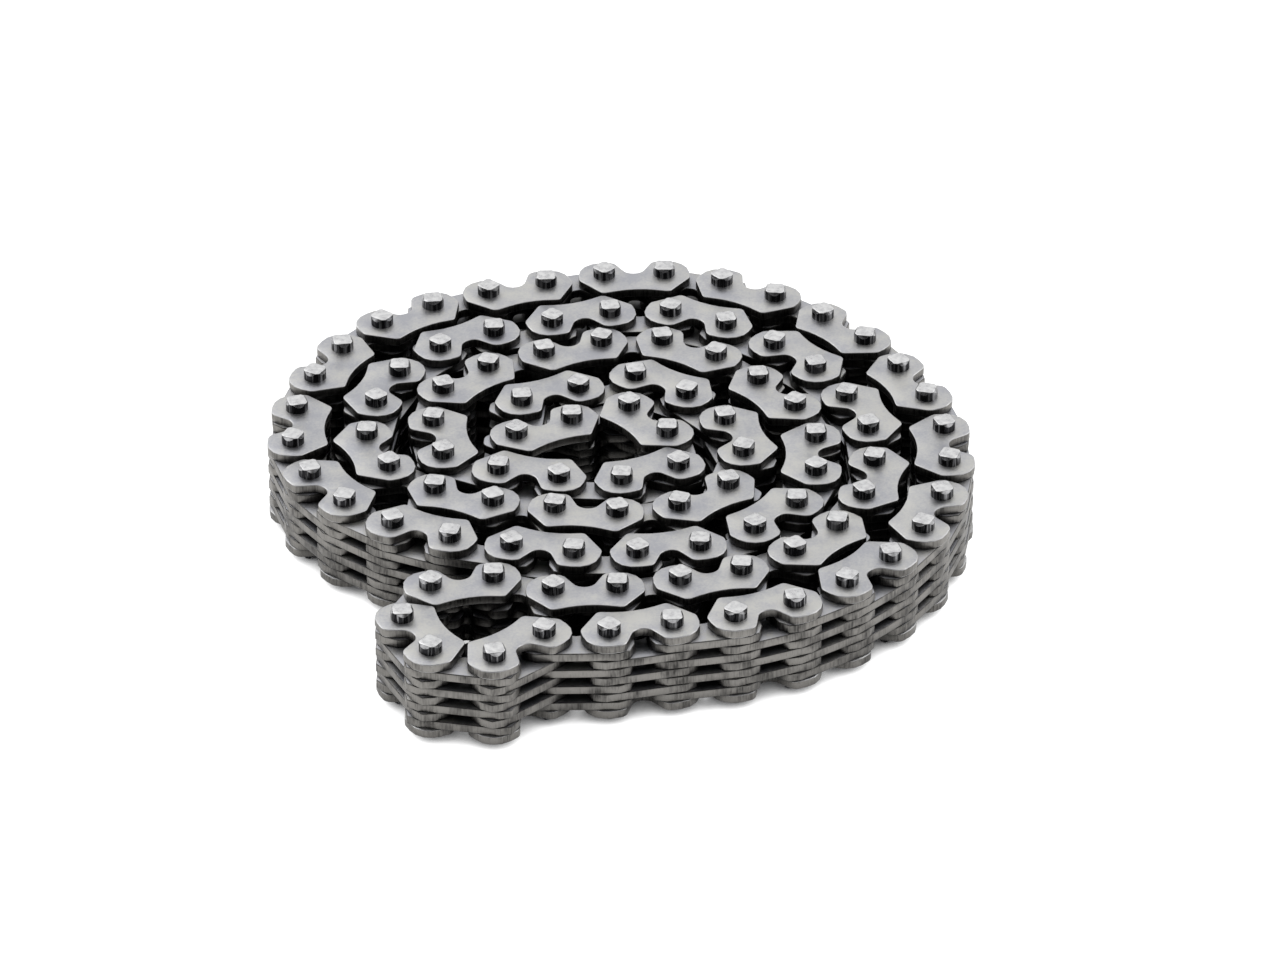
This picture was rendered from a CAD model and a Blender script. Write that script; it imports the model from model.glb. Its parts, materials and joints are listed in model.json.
"""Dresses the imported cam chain: every plate and pin gets rounded edges and a steel finish.

The chain lies in its coil on a white studio floor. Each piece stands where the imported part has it:
the pins are found in the frame first, and each plate is laid on the two pins that carry it.
"""

from __future__ import annotations

import json
import logging
import math
from dataclasses import dataclass
from enum import Enum
from functools import cached_property

import bmesh
import bpy
from bmesh.types import BMEdge, BMesh, BMFace, BMLayerItem, BMVert
from bpy.types import Material, NodeSocket
from mathutils import Matrix, Vector

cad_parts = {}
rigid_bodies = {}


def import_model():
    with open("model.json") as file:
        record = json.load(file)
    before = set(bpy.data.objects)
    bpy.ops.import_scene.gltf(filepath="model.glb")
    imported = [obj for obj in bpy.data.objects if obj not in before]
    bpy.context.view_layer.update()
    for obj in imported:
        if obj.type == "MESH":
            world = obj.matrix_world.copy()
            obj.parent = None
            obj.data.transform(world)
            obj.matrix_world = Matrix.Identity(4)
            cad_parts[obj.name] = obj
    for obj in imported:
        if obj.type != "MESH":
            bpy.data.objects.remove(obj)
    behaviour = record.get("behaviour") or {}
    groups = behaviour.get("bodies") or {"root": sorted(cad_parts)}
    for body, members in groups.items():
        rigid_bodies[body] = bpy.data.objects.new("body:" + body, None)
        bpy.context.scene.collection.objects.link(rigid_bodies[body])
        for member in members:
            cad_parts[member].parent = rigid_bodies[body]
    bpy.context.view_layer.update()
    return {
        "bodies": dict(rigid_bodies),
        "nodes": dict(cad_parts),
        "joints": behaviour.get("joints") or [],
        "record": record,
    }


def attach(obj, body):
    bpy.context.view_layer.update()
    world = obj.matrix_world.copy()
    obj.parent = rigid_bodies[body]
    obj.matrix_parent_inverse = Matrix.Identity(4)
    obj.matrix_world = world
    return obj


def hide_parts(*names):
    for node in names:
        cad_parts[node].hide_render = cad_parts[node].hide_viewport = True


LOG = logging.getLogger("cam_chain")
Colour = tuple[float, float, float]
UP = Vector((0.0, 0.0, 1.0))
WHITE = (1.0, 1.0, 1.0, 1.0)

# A millimetre, in metres.
MM = 0.001
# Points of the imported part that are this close, in metres, are one point.
SAME_POINT = 1e-6
# A face lies level if its normal has a larger share than this along Z.
LEVEL = 0.99
# Edges that bend by more than this stay sharp in the shading.
SHARP_FROM = math.radians(56)

# Each piece has a tone of its own on its faces, and these numbers scramble its place into that tone.
TONE_LAYER = "plate_tone"
TONE_WAVES = Vector((91234.5, 47811.3, 3517.0))
TONE_FOLD = 43758.5

# Sizes of the chain, in millimetres.
PITCH = 6.35
PIN_RADIUS = 1.15
BORE_CLEARANCE = 0.05
GUIDE_REACH = 3.65
GUIDE_BACK = 2.6
TOOTH_REACH = 3.4
TOOTH_BACK = 2.45


class PlateKind(Enum):
    """The two outlines that are stamped for the chain."""

    GUIDE = "guide"
    TOOTHED = "toothed"


class Zone(Enum):
    """Where a face lies on a stamped plate, as its material slot."""

    FLAT = 0
    ROLLED_EDGE = 1
    SHEARED_WALL = 2


class PinZone(Enum):
    """Where a face lies on a pin, as its material slot."""

    RIVET_TOP = 0
    RIVET_FLANK = 1
    SHANK = 2


@dataclass(frozen=True)
class Cloud:
    """A pattern of noise.

    Attributes:
        scale: how many clouds there are in a metre.
        detail: how many finer clouds lie on top.
        stretch: factor on the coordinates along X, Y and Z. A small one draws the clouds out.
    """

    scale: float
    detail: float
    stretch: tuple[float, float, float] | None = None


@dataclass(frozen=True)
class Grime:
    """Dark oil that has gathered in narrow gaps.

    Attributes:
        darkest: the share of the colour that is left where the gap is closed.
        closed: the open share of the surroundings at which a gap counts as closed.
        open_from: the open share from which the colour is left alone.
        reach: how far away another face still closes the gap, in metres.
        samples: how many rays look for such a face.
    """

    darkest: float
    closed: float = 0.26
    open_from: float = 0.74
    reach: float = 0.01
    samples: int = 6


class NodeSheet:
    """The node tree of a material or a world, with short calls for the nodes that are used often."""

    def __init__(self, owner: Material | bpy.types.World, output: str = "ShaderNodeOutputMaterial") -> None:
        """Clears the tree down to its output node.

        Args:
            owner: the material or world.
            output: the type of its output node.
        """
        owner.use_nodes = True
        self.owner = owner
        self.tree = owner.node_tree
        self.tree.nodes.clear()
        self.output = self.node(output, {})

    def node(self, kind: str, inputs: dict[str | int, object], **settings: object) -> bpy.types.Node:
        """Adds a node.

        Args:
            kind: the node's type.
            inputs: for each input the socket that feeds it, or its constant.
            settings: the node's other properties.

        Returns:
            The node.
        """
        node = self.tree.nodes.new(kind)
        for name, value in settings.items():
            setattr(node, name, value)
        for name, value in inputs.items():
            if isinstance(value, NodeSocket):
                self.tree.links.new(value, node.inputs[name])
            else:
                node.inputs[name].default_value = value
        return node

    @cached_property
    def place(self) -> NodeSocket:
        """Gives the object's own coordinates."""
        return self.node("ShaderNodeTexCoord", {}).outputs["Object"]

    def noise(self, cloud: Cloud) -> NodeSocket:
        """Adds a pattern of noise on the object's coordinates.

        Args:
            cloud: the pattern.

        Returns:
            A value from 0 to 1.
        """
        place = self.place
        if cloud.stretch:
            stretched = self.node("ShaderNodeMapping", {"Vector": place, "Scale": cloud.stretch})
            place = stretched.outputs["Vector"]
        inputs = {"Vector": place, "Scale": cloud.scale, "Detail": cloud.detail}
        return self.node("ShaderNodeTexNoise", inputs).outputs["Fac"]

    def spread(
        self,
        value: NodeSocket,
        low: float,
        high: float,
        start: float = 0.3,
        end: float = 0.7,
        curve: str = "LINEAR",
    ) -> NodeSocket:
        """Stretches a value to a new span.

        Args:
            value: what is stretched.
            low: the result where value is start or less.
            high: the result where value is end or more.
            start: the value that gives low.
            end: the value that gives high.
            curve: "LINEAR", or "SMOOTHSTEP" for soft ends.

        Returns:
            The stretched value.
        """
        inputs = {"Value": value, "From Min": start, "From Max": end, "To Min": low, "To Max": high}
        return self.node("ShaderNodeMapRange", inputs, interpolation_type=curve).outputs["Result"]

    def attribute(self, name: str) -> NodeSocket:
        """Reads a number that the mesh carries on its faces."""
        return self.node("ShaderNodeAttribute", {}, attribute_name=name).outputs["Fac"]

    def math(self, operation: str, *values: NodeSocket | float) -> NodeSocket:
        """Works out a value from others."""
        return self.node("ShaderNodeMath", dict(enumerate(values)), operation=operation).outputs["Value"]

    def sum(self, whole: NodeSocket, part: NodeSocket, share: float) -> NodeSocket:
        """Adds a share of one value to another that counts in full."""
        return self.math("MULTIPLY_ADD", part, share, whole)

    def blend(self, value: NodeSocket, places: tuple[float, ...], colours: tuple[Colour, ...]) -> NodeSocket:
        """Turns a value into a colour.

        Args:
            value: where on the ramp the colour is taken.
            places: where each stop lies on the ramp.
            colours: the colour of each stop.

        Returns:
            The colour.
        """
        node = self.node("ShaderNodeValToRGB", {"Fac": value})
        ramp = node.color_ramp
        while len(ramp.elements) < len(places):
            # Where a new stop starts doesn't matter, as its place is set below.
            ramp.elements.new(0.5)
        for element, place, colour in zip(ramp.elements, places, colours):
            element.position = place
            element.color = (*colour, 1.0)
        return node.outputs["Color"]

    def soiled(self, colour: NodeSocket, grime: Grime) -> NodeSocket:
        """Darkens a colour in narrow gaps.

        Args:
            colour: the colour in the open.
            grime: how dark it gets, and where.

        Returns:
            The darkened colour.
        """
        gap = self.node("ShaderNodeAmbientOcclusion", {"Distance": grime.reach}, samples=grime.samples)
        left = self.spread(gap.outputs["AO"], grime.darkest, 1.0, grime.closed, grime.open_from)
        scaled = self.node("ShaderNodeVectorMath", {0: colour, "Scale": left}, operation="SCALE")
        return scaled.outputs["Vector"]

    def bump(self, height: NodeSocket, strength: float, depth: float) -> NodeSocket:
        """Raises the surface.

        Args:
            height: a value from 0 to 1.
            strength: how much of the bump counts.
            depth: height in metres of a value of 1.

        Returns:
            The normal.
        """
        inputs = {"Height": height, "Strength": strength, "Distance": depth}
        return self.node("ShaderNodeBump", inputs).outputs["Normal"]

    def close(self, shader: NodeSocket) -> Material | bpy.types.World:
        """Ends the tree.

        Args:
            shader: what the output shows.

        Returns:
            The finished material or world.
        """
        self.tree.links.new(shader, self.output.inputs["Surface"])
        return self.owner

    def metal(self, colour: NodeSocket, roughness: NodeSocket, normal: NodeSocket) -> Material:
        """Ends the tree as bare metal.

        Args:
            colour: its colour.
            roughness: its roughness.
            normal: its bumped normal.

        Returns:
            The finished material.
        """
        inputs = {"Metallic": 1.0, "Base Color": colour, "Roughness": roughness, "Normal": normal}
        return self.close(self.node("ShaderNodeBsdfPrincipled", inputs).outputs["BSDF"])


@dataclass(frozen=True)
class SatinSteel:
    """Flat of a stamped plate: rolled, tumbled steel with faint blue and brown stains.

    Attributes:
        name: the material's name.
        cool: colour of the bluish stains.
        plain: colour between the stains.
        warm: colour of the brownish stains.
        grime: the oil in gaps.
        stain: pattern of the stains.
        grain: fine pattern of the colour and the gloss.
        brushing: fine pattern of the relief.
        plate_share: how much a plate's own tone counts in the colour.
        grain_share: how much the grain counts in the colour.
        rough_grain_share: how much the grain counts in the gloss.
        stops: the tones that give the three colours.
        roughness: lowest and highest roughness.
        roughness_span: the values of stain and grain that give them.
        relief: strength of the relief, and its depth in metres.
    """

    name: str
    cool: Colour
    plain: Colour
    warm: Colour
    grime: Grime = Grime(0.95)
    stain: Cloud = Cloud(330.0, 5.0)
    grain: Cloud = Cloud(4300.0, 2.0)
    brushing: Cloud = Cloud(4300.0, 3.0, (1.0, 0.22, 1.0))
    plate_share: float = 0.12
    grain_share: float = 0.5
    rough_grain_share: float = 0.4
    stops: tuple[float, float, float] = (0.62, 0.82, 1.0)
    roughness: tuple[float, float] = (0.34, 0.5)
    roughness_span: tuple[float, float] = (0.4, 0.9)
    relief: tuple[float, float] = (0.34, 0.00004)

    def material(self) -> Material:
        """Builds the finish.

        Returns:
            The material.
        """
        sheet = NodeSheet(bpy.data.materials.new(self.name))
        stain = sheet.noise(self.stain)
        grain = sheet.noise(self.grain)
        tone = sheet.sum(stain, sheet.attribute(TONE_LAYER), self.plate_share)
        tone = sheet.sum(tone, grain, self.grain_share)
        colour = sheet.blend(tone, self.stops, (self.cool, self.plain, self.warm))
        worn = sheet.sum(stain, grain, self.rough_grain_share)
        roughness = sheet.spread(worn, *self.roughness, *self.roughness_span)
        normal = sheet.bump(sheet.noise(self.brushing), *self.relief)
        return sheet.metal(sheet.soiled(colour, self.grime), roughness, normal)


@dataclass(frozen=True)
class WornSteel:
    """Bare steel of two tones, whose colour, gloss and relief follow one pattern.

    Attributes:
        name: the material's name.
        dark: colour where the tone is low.
        light: colour where the tone is high.
        pattern: the pattern.
        stops: the tones that give the two colours.
        roughness: roughness where the pattern is low, and where it is high.
        relief: strength of the relief, and its depth in metres.
        grime: the oil in gaps, if there is any.
    """

    name: str
    dark: Colour
    light: Colour
    pattern: Cloud
    stops: tuple[float, float]
    roughness: tuple[float, float]
    relief: tuple[float, float]
    grime: Grime | None = None

    def tone(self, sheet: NodeSheet, pattern: NodeSocket) -> NodeSocket:
        """Gives the tone that picks the colour, which is the pattern itself."""
        return pattern

    def material(self) -> Material:
        """Builds the finish.

        Returns:
            The material.
        """
        sheet = NodeSheet(bpy.data.materials.new(self.name))
        pattern = sheet.noise(self.pattern)
        colour = sheet.blend(self.tone(sheet, pattern), self.stops, (self.dark, self.light))
        if self.grime:
            colour = sheet.soiled(colour, self.grime)
        return sheet.metal(colour, sheet.spread(pattern, *self.roughness), sheet.bump(pattern, *self.relief))


@dataclass(frozen=True)
class RolledEdge(WornSteel):
    """Rounded rim of a stamped plate, polished by tumbling."""

    pattern: Cloud = Cloud(900.0, 4.0)
    stops: tuple[float, float] = (0.3, 0.7)
    roughness: tuple[float, float] = (0.42, 0.3)
    relief: tuple[float, float] = (0.08, 0.00004)
    grime: Grime | None = Grime(0.1, closed=0.4, open_from=0.82)


@dataclass(frozen=True)
class ShearedWall(WornSteel):
    """Cut wall of a stamped plate, dark and scored from top to bottom by the die.

    Attributes:
        dirt: pattern of the larger clouds under the scores.
        score_share: how much the scores count in the colour.
    """

    pattern: Cloud = Cloud(5200.0, 3.0, (1.0, 1.0, 0.12))
    stops: tuple[float, float] = (0.62, 1.0)
    roughness: tuple[float, float] = (0.34, 0.55)
    relief: tuple[float, float] = (0.35, 0.00006)
    grime: Grime | None = Grime(0.18)
    dirt: Cloud = Cloud(420.0, 3.0)
    score_share: float = 0.8

    def tone(self, sheet: NodeSheet, pattern: NodeSocket) -> NodeSocket:
        """Lays the scores over larger clouds of dirt."""
        return sheet.sum(sheet.noise(self.dirt), pattern, self.score_share)


@dataclass(frozen=True)
class RivetedSteel(WornSteel):
    """Bright end of a pin, upset by the riveting tool."""

    pattern: Cloud = Cloud(1900.0, 4.0)
    stops: tuple[float, float] = (0.35, 0.64)
    roughness: tuple[float, float] = (0.22, 0.4)
    relief: tuple[float, float] = (0.16, 0.00005)


@dataclass(frozen=True)
class DrawnSteel(WornSteel):
    """Shank of a pin, drawn and ground: dark, with bright streaks along it."""

    pattern: Cloud = Cloud(2600.0, 2.0, (1.0, 1.0, 0.04))
    stops: tuple[float, float] = (0.5, 0.78)
    roughness: tuple[float, float] = (0.2, 0.32)
    relief: tuple[float, float] = (0.2, 0.00004)


BRIGHT_EDGE = RolledEdge("rolled_edge", (0.4, 0.4, 0.41), (0.6, 0.6, 0.6))
DULL_EDGE = RolledEdge("dull_edge", (0.06, 0.058, 0.056), (0.17, 0.166, 0.16))
WALL = ShearedWall("sheared_wall", (0.05, 0.048, 0.046), (0.245, 0.236, 0.222))
GUIDE_FLAT = SatinSteel("guide_plate_flat", (0.41, 0.415, 0.445), (0.5, 0.5, 0.505), (0.57, 0.565, 0.545))
TOOTHED_FLAT = SatinSteel(
    "toothed_plate_flat",
    (0.4, 0.41, 0.445),
    (0.46, 0.46, 0.48),
    (0.5, 0.495, 0.47),
    grime=Grime(0.3, open_from=0.46),
)
RIVET_TOP = RivetedSteel("rivet_top", (0.54, 0.54, 0.55), (0.73, 0.73, 0.73), roughness=(0.25, 0.38))
RIVET_FLANK = RivetedSteel("rivet_flank", (0.2, 0.2, 0.205), (0.5, 0.5, 0.51))
PIN_SHANK = DrawnSteel("pin_shank", (0.02, 0.02, 0.022), (0.36, 0.36, 0.37))


def everything(mesh: BMesh) -> list[BMVert | BMEdge | BMFace]:
    """Lists all elements of a mesh."""
    return mesh.verts[:] + mesh.edges[:] + mesh.faces[:]


def only(kind: type, geom: list[BMVert | BMEdge | BMFace]) -> list[BMVert | BMEdge | BMFace]:
    """Picks the elements of one kind from what an operator gives back."""
    return [item for item in geom if isinstance(item, kind)]


def round_off(
    mesh: BMesh, geom: list[BMVert] | list[BMEdge], offset: float, segments: int, affect: str
) -> None:
    """Rounds corners of an outline or edges of a solid.

    Args:
        mesh: the mesh.
        geom: the vertices or edges.
        offset: how far from them the rounding starts.
        segments: how many faces or edges make the rounding.
        affect: "VERTICES" or "EDGES".
    """
    # A profile of 0.5 is round, and a material of -1 leaves each face its own.
    bmesh.ops.bevel(
        mesh,
        geom=geom,
        offset=offset,
        offset_type="OFFSET",
        segments=segments,
        profile=0.5,
        affect=affect,
        material=-1,
    )


def add_object(name: str, data: bpy.types.ID) -> bpy.types.Object:
    """Puts an object into the scene, at the origin and unturned.

    Args:
        name: the object's name.
        data: its mesh, light or camera.

    Returns:
        The object.
    """
    made = bpy.data.objects.new(name, data)
    bpy.context.scene.collection.objects.link(made)
    return made


def add_mesh(name: str, mesh: BMesh, materials: list[Material]) -> bpy.types.Object:
    """Puts a mesh into the scene.

    Args:
        name: the object's name.
        mesh: its shape, which is freed.
        materials: its material slots.

    Returns:
        The object.
    """
    data = bpy.data.meshes.new(name)
    mesh.to_mesh(data)
    mesh.free()
    for material in materials:
        data.materials.append(material)
    return add_object(name, data)


@dataclass(frozen=True)
class Corner:
    """A corner of an outline, in millimetres: its place and the radius of its rounding."""

    x: float
    y: float
    radius: float


@dataclass(frozen=True)
class Plate:
    """One stamped plate with two bores, in millimetres, its first pin at the origin.

    Attributes:
        kind: the outline's kind.
        half_outline: the corners on the first pin's side of the middle.
        waist: the corner at the middle, if there is one.
        bore_radius: radius of both bores.
        corner_steps: edges in a rounded corner.
        bore_steps: edges round a bore.
        thickness: from the underside to the top.
        edge: radius of the rounded rim.
        edge_steps: width and rise of each step of the rim's quarter round, as shares of its radius.
        merge: how close the two halves have to come to be joined.
    """

    kind: PlateKind
    half_outline: tuple[Corner, ...]
    waist: Corner | None
    bore_radius: float
    corner_steps: int
    bore_steps: int
    thickness: float = 0.92
    edge: float = 0.08
    edge_steps: tuple[tuple[float, float], ...] = ((0.293, 0.707), (0.707, 0.293))
    merge: float = 0.001

    def corners(self) -> list[Corner]:
        """Mirrors the half outline about the middle of the pitch.

        Returns:
            All corners in order.
        """
        far = [Corner(PITCH - c.x, c.y, c.radius) for c in reversed(self.half_outline)]
        return [*self.half_outline, *([self.waist] if self.waist else []), *far]

    def blank(self) -> BMesh:
        """Cuts the outline as one face with rounded corners.

        Returns:
            The face in a new mesh, at height zero.
        """
        mesh = bmesh.new()
        corners = self.corners()
        verts = [mesh.verts.new((c.x, c.y, 0.0)) for c in corners]
        mesh.faces.new(verts)
        places = [vert.co.copy() for vert in verts]
        for i, (vert, corner) in enumerate(zip(verts, corners)):
            before = (places[i - 1] - places[i]).normalized()
            after = (places[(i + 1) % len(places)] - places[i]).normalized()
            half = before.angle(after) / 2
            round_off(mesh, [vert], corner.radius / math.tan(half), self.corner_steps, "VERTICES")
        return mesh

    def raise_wall(self, mesh: BMesh) -> BMFace:
        """Raises the blank to the foot of the rounded rim and leaves it open below.

        Args:
            mesh: the blank.

        Returns:
            The raised face.
        """
        base = mesh.faces[:][0]
        if base.normal.z < 0:
            base.normal_flip()
        made = bmesh.ops.extrude_face_region(mesh, geom=[base])
        top = only(BMFace, made["geom"])[0]
        bmesh.ops.translate(mesh, verts=top.verts[:], vec=UP * (self.thickness / 2 - self.edge))
        floor = [face for face in mesh.faces if abs(face.normal.z) > LEVEL and face is not top]
        bmesh.ops.delete(mesh, geom=floor, context="FACES_ONLY")
        for face in mesh.faces:
            face.material_index = Zone.SHEARED_WALL.value
        return top

    def round_rim(self, mesh: BMesh, top: BMFace) -> None:
        """Rounds the rim round the top.

        Args:
            mesh: the raised plate.
            top: its upper face, which shrinks and rises.
        """
        before = set(mesh.faces)
        for width, rise in self.edge_steps:
            bmesh.ops.inset_region(
                mesh, faces=[top], thickness=self.edge * width, depth=self.edge * rise, use_even_offset=True
            )
        for face in mesh.faces:
            if face not in before:
                face.material_index = Zone.ROLLED_EDGE.value

    def bore_ring(self, mesh: BMesh, x: float) -> list[BMEdge]:
        """Draws the rim of a bore at the height of the flat.

        Args:
            mesh: the plate.
            x: where the bore lies along the pitch.

        Returns:
            The ring's edges.
        """
        ring = bmesh.ops.create_circle(
            mesh,
            cap_ends=False,
            segments=self.bore_steps,
            radius=self.bore_radius,
            matrix=Matrix.Translation((x, 0, self.thickness / 2)),
        )
        return list(dict.fromkeys(edge for vert in ring["verts"] for edge in vert.link_edges))

    def pierce(self, mesh: BMesh, top: BMFace) -> None:
        """Puts a flat with two bores in the place of the top.

        Args:
            mesh: the plate.
            top: its upper face.
        """
        rim = top.edges[:]
        bmesh.ops.delete(mesh, geom=[top], context="FACES_ONLY")
        bores = [*self.bore_ring(mesh, 0.0), *self.bore_ring(mesh, PITCH)]
        flat = bmesh.ops.triangle_fill(
            mesh, use_beauty=True, use_dissolve=False, edges=rim + bores, normal=UP
        )
        for face in only(BMFace, flat["geom"]):
            face.material_index = Zone.FLAT.value
        sunk = bmesh.ops.extrude_edge_only(mesh, edges=bores)["geom"]
        for vert in only(BMVert, sunk):
            vert.co.z = 0.0
        for face in only(BMFace, sunk):
            face.material_index = Zone.SHEARED_WALL.value

    def build(self) -> BMesh:
        """Models the upper half of the plate and mirrors it.

        Returns:
            The closed plate, its middle plane at height zero.
        """
        mesh = self.blank()
        top = self.raise_wall(mesh)
        self.round_rim(mesh, top)
        self.pierce(mesh, top)
        bmesh.ops.mirror(mesh, geom=everything(mesh), axis="Z", merge_dist=self.merge)
        bmesh.ops.recalc_face_normals(mesh, faces=mesh.faces[:])
        for face in mesh.faces:
            face.smooth = face.material_index != Zone.FLAT.value
        return mesh


@dataclass(frozen=True)
class Pin:
    """A round pin whose ends are squared by four sloping facets, in millimetres, its middle at the origin.

    Attributes:
        radius: radius of the bar.
        length: from end to end.
        top_half: half the width of the squared end.
        facet_height: how far the facets come down.
        rim: radius of the rounded rim of each end.
        rim_steps: faces across that rim.
        steps: edges round the bar.
        flank_from: share of a face's normal along Z from which it belongs to the flank of an end.
        top_from: share from which it belongs to the top.
    """

    radius: float = PIN_RADIUS
    length: float = 10.7
    top_half: float = 0.93
    facet_height: float = 0.34
    rim: float = 0.06
    rim_steps: int = 2
    steps: int = 32
    flank_from: float = 0.1
    top_from: float = 0.75

    def build(self) -> BMesh:
        """Cuts the facets off a round bar and rounds the rims of both ends.

        Returns:
            The closed pin.
        """
        mesh = bmesh.new()
        bmesh.ops.create_cone(
            mesh,
            cap_ends=True,
            segments=self.steps,
            radius1=self.radius,
            radius2=self.radius,
            depth=self.length,
        )
        for side in (-1, 1):
            for quarter in range(4):
                self.cut_facet(mesh, side, quarter * math.pi / 2)
        ends = [face for face in mesh.faces if abs(face.normal.z) > LEVEL]
        rims = list(dict.fromkeys(edge for face in ends for edge in face.edges))
        round_off(mesh, rims, self.rim, self.rim_steps, "EDGES")
        bmesh.ops.recalc_face_normals(mesh, faces=mesh.faces[:])
        for face in mesh.faces:
            zone = self.zone_of(face)
            face.material_index = zone.value
            face.smooth = zone is not PinZone.RIVET_TOP
        return mesh

    def zone_of(self, face: BMFace) -> PinZone:
        """Tells the zone of a face by how level it lies.

        Args:
            face: a face of the finished pin.

        Returns:
            Its zone.
        """
        share = abs(face.normal.z)
        if share > self.top_from:
            return PinZone.RIVET_TOP
        return PinZone.RIVET_FLANK if share > self.flank_from else PinZone.SHANK

    def cut_facet(self, mesh: BMesh, side: int, angle: float) -> None:
        """Cuts one facet, which slopes from the end down to the round of the bar.

        Args:
            mesh: the pin's mesh.
            side: 1 for the upper end and -1 for the lower one.
            angle: where the facet lies round the pin, in radians.
        """
        slope = math.atan2(self.radius - self.top_half, self.facet_height)
        outward = Vector((math.cos(angle), math.sin(angle), 0.0))
        cut = bmesh.ops.bisect_plane(
            mesh,
            geom=everything(mesh),
            plane_co=outward * self.top_half + UP * (side * self.length / 2),
            plane_no=outward * math.cos(slope) + UP * (side * math.sin(slope)),
            clear_outer=True,
        )
        bmesh.ops.edgeloop_fill(mesh, edges=only(BMEdge, cut["geom_cut"]))


GUIDE_PLATE = Plate(
    PlateKind.GUIDE,
    (
        Corner(2.425, -0.25, 1.1),
        Corner(1.1, -GUIDE_BACK, 0.9),
        Corner(-2.7, -GUIDE_BACK, 2.4),
        Corner(-2.7, 0.9, 0.8),
        Corner(-0.35, GUIDE_REACH, 0.6),
    ),
    waist=Corner(PITCH / 2, 2.75, 8.0),
    bore_radius=PIN_RADIUS,
    corner_steps=4,
    bore_steps=16,
)
TOOTHED_PLATE = Plate(
    PlateKind.TOOTHED,
    (
        Corner(-2.5, -TOOTH_BACK, 1.6),
        Corner(-2.5, 0.7, 0.8),
        Corner(-0.85, TOOTH_REACH, 0.7),
        Corner(0.75, TOOTH_REACH, 0.7),
        Corner(2.675, 0.75, 0.6),
    ),
    waist=None,
    bore_radius=PIN_RADIUS + BORE_CLEARANCE,
    corner_steps=2,
    bore_steps=12,
)


@dataclass(frozen=True)
class Seat:
    """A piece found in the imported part: middle and two corners of its box, and its points, in metres."""

    centre: Vector
    low: Vector
    high: Vector
    points: tuple[Vector, ...]

    def order(self) -> tuple[float, float, float]:
        """Sorts seats from the floor up, then across."""
        return round(self.low.z, 5), round(self.centre.x, 5), round(self.centre.y, 5)

    def tone(self) -> float:
        """Gives the piece a tone of its own, from 0 to 1, which is the same in each run."""
        return math.sin(self.centre.dot(TONE_WAVES)) * TONE_FOLD % 1


def seats_in(packed: bpy.types.Mesh) -> list[Seat]:
    """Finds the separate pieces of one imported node.

    Args:
        packed: the node's mesh, which is left as it is.

    Returns:
        One seat for each closed piece, in a steady order.
    """
    mesh = bmesh.new()
    mesh.from_mesh(packed)
    bmesh.ops.remove_doubles(mesh, verts=mesh.verts[:], dist=SAME_POINT)
    seen: set[BMVert] = set()
    found: list[Seat] = []
    for start in mesh.verts:
        if start in seen:
            continue
        seen.add(start)
        heap = [start]
        points: list[Vector] = []
        while heap:
            vert = heap.pop()
            points.append(vert.co.copy())
            fresh = {edge.other_vert(vert): None for edge in vert.link_edges}
            heap += [other for other in fresh if other not in seen]
            seen.update(fresh)
        low = Vector(min(point[i] for point in points) for i in range(3))
        high = Vector(max(point[i] for point in points) for i in range(3))
        found.append(Seat((low + high) / 2, low, high, tuple(points)))
    mesh.free()
    return sorted(found, key=Seat.order)


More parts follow.
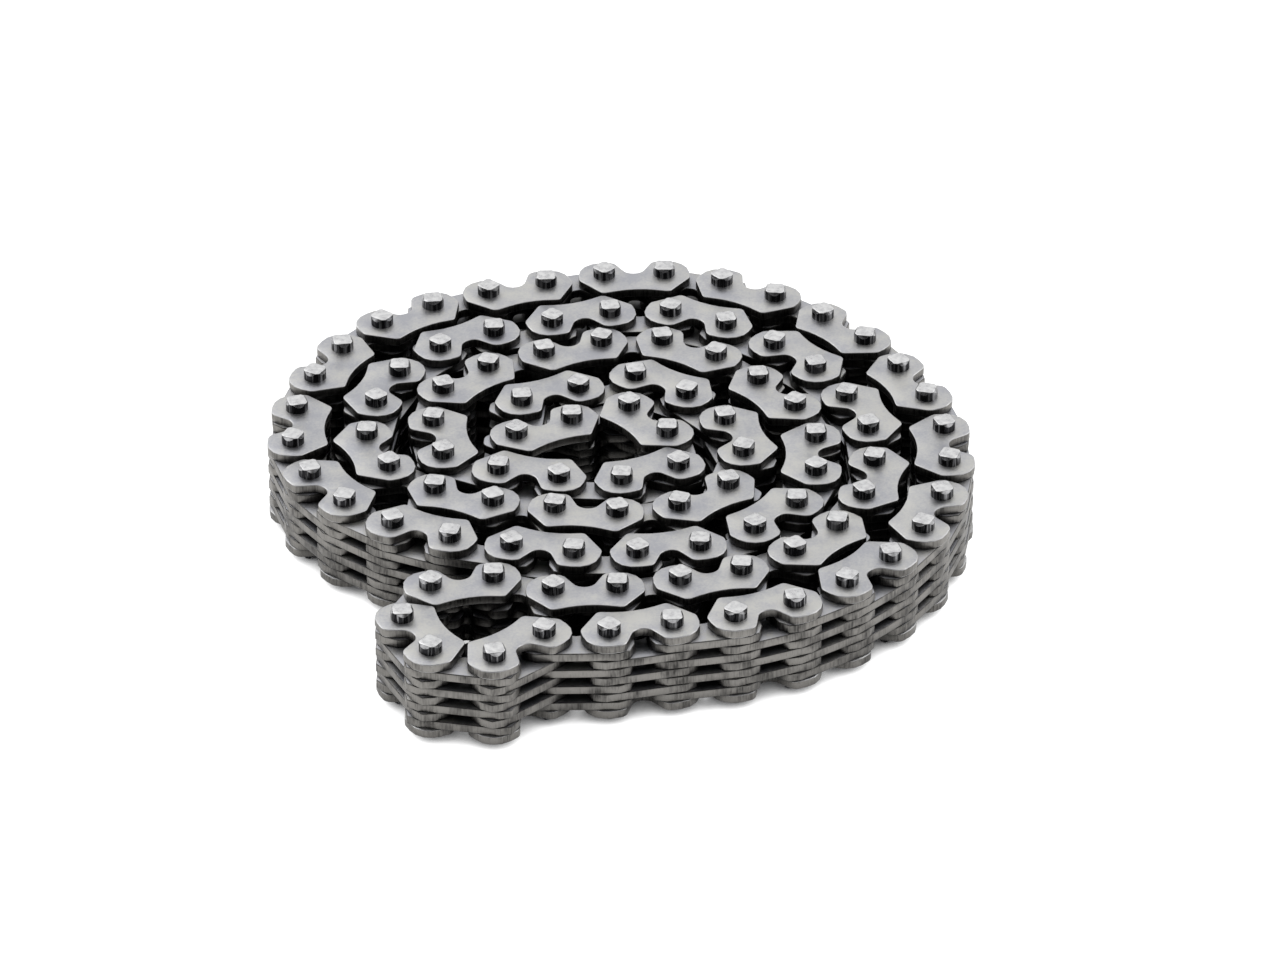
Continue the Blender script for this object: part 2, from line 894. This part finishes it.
@dataclass
class Chain:
    """All plates and pins of the chain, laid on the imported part.

    Attributes:
        frame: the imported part.
        guide: the plate of the two outer rows.
        toothed: the plate of all rows between them.
        pin: the pin.
        outer_row: a plate nearer than this to the ends of the pins, in metres, lies in an outer row.
    """

    frame: dict
    guide: Plate = GUIDE_PLATE
    toothed: Plate = TOOTHED_PLATE
    pin: Pin = Pin()
    outer_row: float = 1.5 * MM

    def __post_init__(self) -> None:
        """Builds the shared finishes and shapes and finds the pins."""
        wall = WALL.material()
        self.finishes = {
            PlateKind.GUIDE: (GUIDE_FLAT.material(), BRIGHT_EDGE.material(), wall),
            PlateKind.TOOTHED: (TOOTHED_FLAT.material(), DULL_EDGE.material(), wall),
        }
        self.pin_finishes = (RIVET_TOP.material(), RIVET_FLANK.material(), PIN_SHANK.material())
        self.shapes = {plate.kind: plate.build() for plate in (self.guide, self.toothed)}
        self.pin_shape = self.pin.build()
        self.nodes = [entry["node"] for entry in self.frame["record"]["subparts"]]
        self.seats = {node: seats_in(self.frame["nodes"][node].data) for node in self.nodes}
        self.pins = [seat for node in self.nodes if self.is_pins(node) for seat in self.seats[node]]
        self.top = max(seat.high.z for seat in self.pins)

    @staticmethod
    def is_pins(node: str) -> bool:
        """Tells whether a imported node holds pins, not plates."""
        return node.endswith("pins")

    def kind_of(self, node: str, seat: Seat) -> PlateKind:
        """Tells a guide plate by its place in an outer row.

        Args:
            node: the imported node.
            seat: the plate's place in it.

        Returns:
            The plate's kind.
        """
        outside = min(seat.low.z, self.top - seat.high.z) < self.outer_row
        return PlateKind.GUIDE if outside and not node.startswith("inner_link") else PlateKind.TOOTHED

    def plate_pose(self, seat: Seat) -> Matrix:
        """Finds how a plate lies from the two pins that carry it.

        Args:
            seat: the plate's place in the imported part.

        Returns:
            The matrix from a plate in millimetres to its place in metres.
        """
        near = sorted(self.pins, key=lambda pin: (pin.centre - seat.centre).xy.length)[:2]
        first, second = (Vector((pin.centre.x, pin.centre.y, seat.centre.z)) for pin in near)
        along = (second - first).normalized()
        left = Vector((-along.y, along.x, 0.0))
        # The side on which a plate reaches furthest is the upper one of its outline.
        reach = max(((point - first).xy.dot(left.xy) for point in seat.points), key=abs)
        if reach < 0:
            first, along, left = second, -along, -left
        turn = Matrix((along, left, UP)).transposed().to_4x4()
        return Matrix.Translation(first) @ turn @ Matrix.Scale(MM, 4)

    def pin_pose(self, seat: Seat) -> Matrix:
        """Finds how a pin's squared ends are turned.

        Args:
            seat: the pin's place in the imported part.

        Returns:
            The matrix from a pin in millimetres to its place in metres.
        """
        rim = [point - seat.centre for point in seat.points if point.z > seat.high.z - SAME_POINT]
        # Four times the angle brings the four corners together, and the rim's mean points at them.
        angles = [math.atan2(point.y, point.x) * 4 for point in rim]
        corner = math.atan2(sum(map(math.sin, angles)), sum(map(math.cos, angles))) / 4
        turn = Matrix.Rotation(corner + math.pi / 4, 4, "Z")
        return Matrix.Translation(seat.centre) @ turn @ Matrix.Scale(MM, 4)

    def outfit(self, node: str, seat: Seat) -> tuple[BMesh, Matrix, tuple[Material, ...]]:
        """Chooses what stands for one packed plate or pin.

        Args:
            node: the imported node.
            seat: the piece's place in it.

        Returns:
            The shape, its pose and the finish of each of its zones.
        """
        if self.is_pins(node):
            return self.pin_shape, self.pin_pose(seat), self.pin_finishes
        kind = self.kind_of(node, seat)
        return self.shapes[kind], self.plate_pose(seat), self.finishes[kind]

    def dress(self, node: str) -> bpy.types.Object:
        """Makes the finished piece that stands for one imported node.

        Args:
            node: the node's name.

        Returns:
            The finished piece.
        """
        mesh = bmesh.new()
        tone = mesh.faces.layers.float.new(TONE_LAYER)
        slots: list[Material] = []
        for seat in self.seats[node]:
            shape, pose, finishes = self.outfit(node, seat)
            slots += [finish for finish in finishes if finish not in slots]
            slot_of = [slots.index(finish) for finish in finishes]
            self.stamp(mesh, shape, pose, slot_of, seat.tone(), tone)
        piece = add_mesh(f"{node}_finished", mesh, slots)
        piece.data.set_sharp_from_angle(angle=SHARP_FROM)
        return piece

    @staticmethod
    def stamp(
        mesh: BMesh, shape: BMesh, pose: Matrix, slot_of: list[int], shade: float, tone: BMLayerItem
    ) -> None:
        """Adds one copy of a shape to a piece's mesh.

        Args:
            mesh: the piece's mesh.
            shape: the plate or pin.
            pose: where it goes.
            slot_of: the piece's material slot for each of the shape's zones.
            shade: the copy's own tone, from 0 to 1.
            tone: the layer that keeps the tone.
        """
        verts = {vert: mesh.verts.new(pose @ vert.co) for vert in shape.verts}
        for face in shape.faces:
            copy = mesh.faces.new([verts[vert] for vert in face.verts])
            copy.material_index = slot_of[face.material_index]
            copy.smooth = face.smooth
            copy[tone] = shade

    def build(self) -> None:
        """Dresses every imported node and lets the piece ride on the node's body."""
        record = self.frame["record"]
        home = {node: body for body, nodes in record["behaviour"]["bodies"].items() for node in nodes}
        for node in self.nodes:
            piece = self.dress(node)
            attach(piece, home[node])
            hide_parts(node)
            LOG.info("%s: %d faces", piece.name, len(piece.data.polygons))


@dataclass(frozen=True)
class Lamp:
    """A soft square lamp: its place and width in metres, and its power in watts."""

    name: str
    place: tuple[float, float, float]
    width: float
    power: float

    def hang(self) -> None:
        """Hangs the lamp so that it points at the chain."""
        light = bpy.data.lights.new(self.name, "AREA")
        light.shape = "SQUARE"
        light.size = self.width
        light.energy = self.power
        lamp = add_object(self.name, light)
        lamp.location = self.place
        lamp.rotation_euler = (-Vector(self.place)).to_track_quat("-Z", "Y").to_euler()


@dataclass
class Studio:
    """White floor, soft lamps and the camera that looks at the coil as the photograph does.

    Attributes:
        elevation: how steeply the camera looks down, in degrees.
        distance: from the camera to the point it aims at, in metres.
        aim: that point, in metres.
        focal_pixels: focal length in pixels of the photograph.
        image_width: width of the photograph in pixels.
        sensor: width of the sensor in millimetres.
        clip: the nearest and the farthest that the camera sees, in metres.
        floor_size: width of the floor in metres.
        paper: the floor's colour in soft light.
        glow: the floor's own light, which only the camera, reflections and glass see.
        shaded: open share of the surroundings at which the glow starts, and at which it is full.
        shadow_reach: how near a piece has to be to shade the glow, in metres.
        fill: the surround's strength as soft light.
        patch_angles: angle from the camera at which the dark patch starts, and at which it is full.
        patch_tone: the surround's strength in the patch.
        lamps: the lamps.
    """

    elevation: float = 32.63
    distance: float = 0.6955
    aim: tuple[float, float, float] = (0.00201, -0.00596, 0.0107)
    focal_pixels: float = 6902.5
    image_width: float = 1280.0
    sensor: float = 36.0
    clip: tuple[float, float] = (0.01, 50.0)
    floor_size: float = 6.0
    paper: tuple[float, float, float, float] = (0.5, 0.5, 0.5, 1.0)
    glow: float = 0.985
    shaded: tuple[float, float] = (0.1, 0.36)
    shadow_reach: float = 0.008
    fill: float = 0.6
    patch_angles: tuple[float, float] = (75.0, 25.0)
    patch_tone: float = 0.12
    lamps: tuple[Lamp, ...] = (
        Lamp("lamp_left", (-0.7, 0.5, 0.8), 0.9, 3.0),
        Lamp("lamp_right", (0.8, 0.2, 0.7), 0.9, 2.0),
    )

    def to_camera(self) -> Vector:
        """Gives the direction from the chain to the camera."""
        tilt = math.radians(self.elevation)
        return Vector((0, -math.cos(tilt), math.sin(tilt)))

    @staticmethod
    def sees_background(sheet: NodeSheet) -> NodeSocket:
        """Tells the rays that see the background: from the camera, from a reflection or through glass.

        Args:
            sheet: the node tree that asks.

        Returns:
            1 for such a ray and 0 for the others.
        """
        rays = sheet.node("ShaderNodeLightPath", {}).outputs
        first = sheet.math("MAXIMUM", rays["Is Camera Ray"], rays["Is Glossy Ray"])
        return sheet.math("MAXIMUM", first, rays["Is Transmission Ray"])

    def behind_camera(self, sheet: NodeSheet) -> NodeSocket:
        """Darkens the part of the room behind the camera, where the photographer stands.

        Args:
            sheet: the world's node tree.

        Returns:
            The strength of the white surround: 1, and less towards the dark patch.
        """
        place = sheet.node("ShaderNodeTexCoord", {}).outputs["Generated"]
        inputs = {0: place, 1: self.to_camera()}
        towards = sheet.node("ShaderNodeVectorMath", inputs, operation="DOT_PRODUCT").outputs["Value"]
        start, full = (math.cos(math.radians(angle)) for angle in self.patch_angles)
        return sheet.spread(towards, 1.0, self.patch_tone, start, full, "SMOOTHSTEP")

    def world(self) -> None:
        """Sets a surround that is white to the camera and white with one dark patch in reflections."""
        world = bpy.data.worlds.new("studio")
        sheet = NodeSheet(world, "ShaderNodeOutputWorld")
        soft = sheet.node("ShaderNodeBackground", {"Color": WHITE, "Strength": self.fill})
        white = sheet.node("ShaderNodeBackground", {"Color": WHITE, "Strength": self.behind_camera(sheet)})
        lights = {1: soft.outputs["Background"], 2: white.outputs["Background"]}
        mix = sheet.node("ShaderNodeMixShader", {"Fac": self.sees_background(sheet), **lights})
        sheet.close(mix.outputs["Shader"])
        bpy.context.scene.world = world

    def floor_white(self) -> Material:
        """Makes the floor's material: white to lenses and reflections but for a faint shadow.

        Returns:
            The material.
        """
        sheet = NodeSheet(bpy.data.materials.new("floor_white"))
        paper = sheet.node("ShaderNodeBsdfDiffuse", {"Color": self.paper})
        sky = sheet.node("ShaderNodeAmbientOcclusion", {"Distance": self.shadow_reach})
        lit = sheet.spread(sky.outputs["AO"], 0.0, self.glow, *self.shaded)
        strength = sheet.math("MULTIPLY", self.sees_background(sheet), lit)
        glow = sheet.node("ShaderNodeEmission", {"Color": WHITE, "Strength": strength})
        both = sheet.node("ShaderNodeAddShader", {0: paper.outputs["BSDF"], 1: glow.outputs["Emission"]})
        return sheet.close(both.outputs["Shader"])

    def floor(self) -> None:
        """Lays the white floor, which keeps a faint shadow of the chain."""
        mesh = bmesh.new()
        bmesh.ops.create_grid(mesh, x_segments=1, y_segments=1, size=self.floor_size / 2)
        floor = add_mesh("floor", mesh, [self.floor_white()])

    def camera(self) -> None:
        """Sets the camera at the photograph's height, distance and field of view."""
        lens = bpy.data.cameras.new("camera")
        lens.sensor_fit = "HORIZONTAL"
        lens.sensor_width = self.sensor
        lens.lens = self.focal_pixels * self.sensor / self.image_width
        lens.clip_start, lens.clip_end = self.clip
        camera = add_object("camera", lens)
        camera.location = Vector(self.aim) + self.distance * self.to_camera()
        camera.rotation_euler = (math.pi / 2 - math.radians(self.elevation), 0, 0)
        bpy.context.scene.camera = camera

    def build(self) -> None:
        """Sets the whole studio."""
        self.world()
        self.floor()
        for lamp in self.lamps:
            lamp.hang()
        self.camera()
        bpy.context.scene.view_settings.view_transform = "Standard"


def main() -> None:
    """Dresses the chain, sets the studio and keeps the two boxes for comparison."""
    logging.basicConfig(level=logging.INFO, format="%(message)s")
    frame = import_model()
    Chain(frame).build()
    Studio().build()


if __name__ == "__main__":
    main()
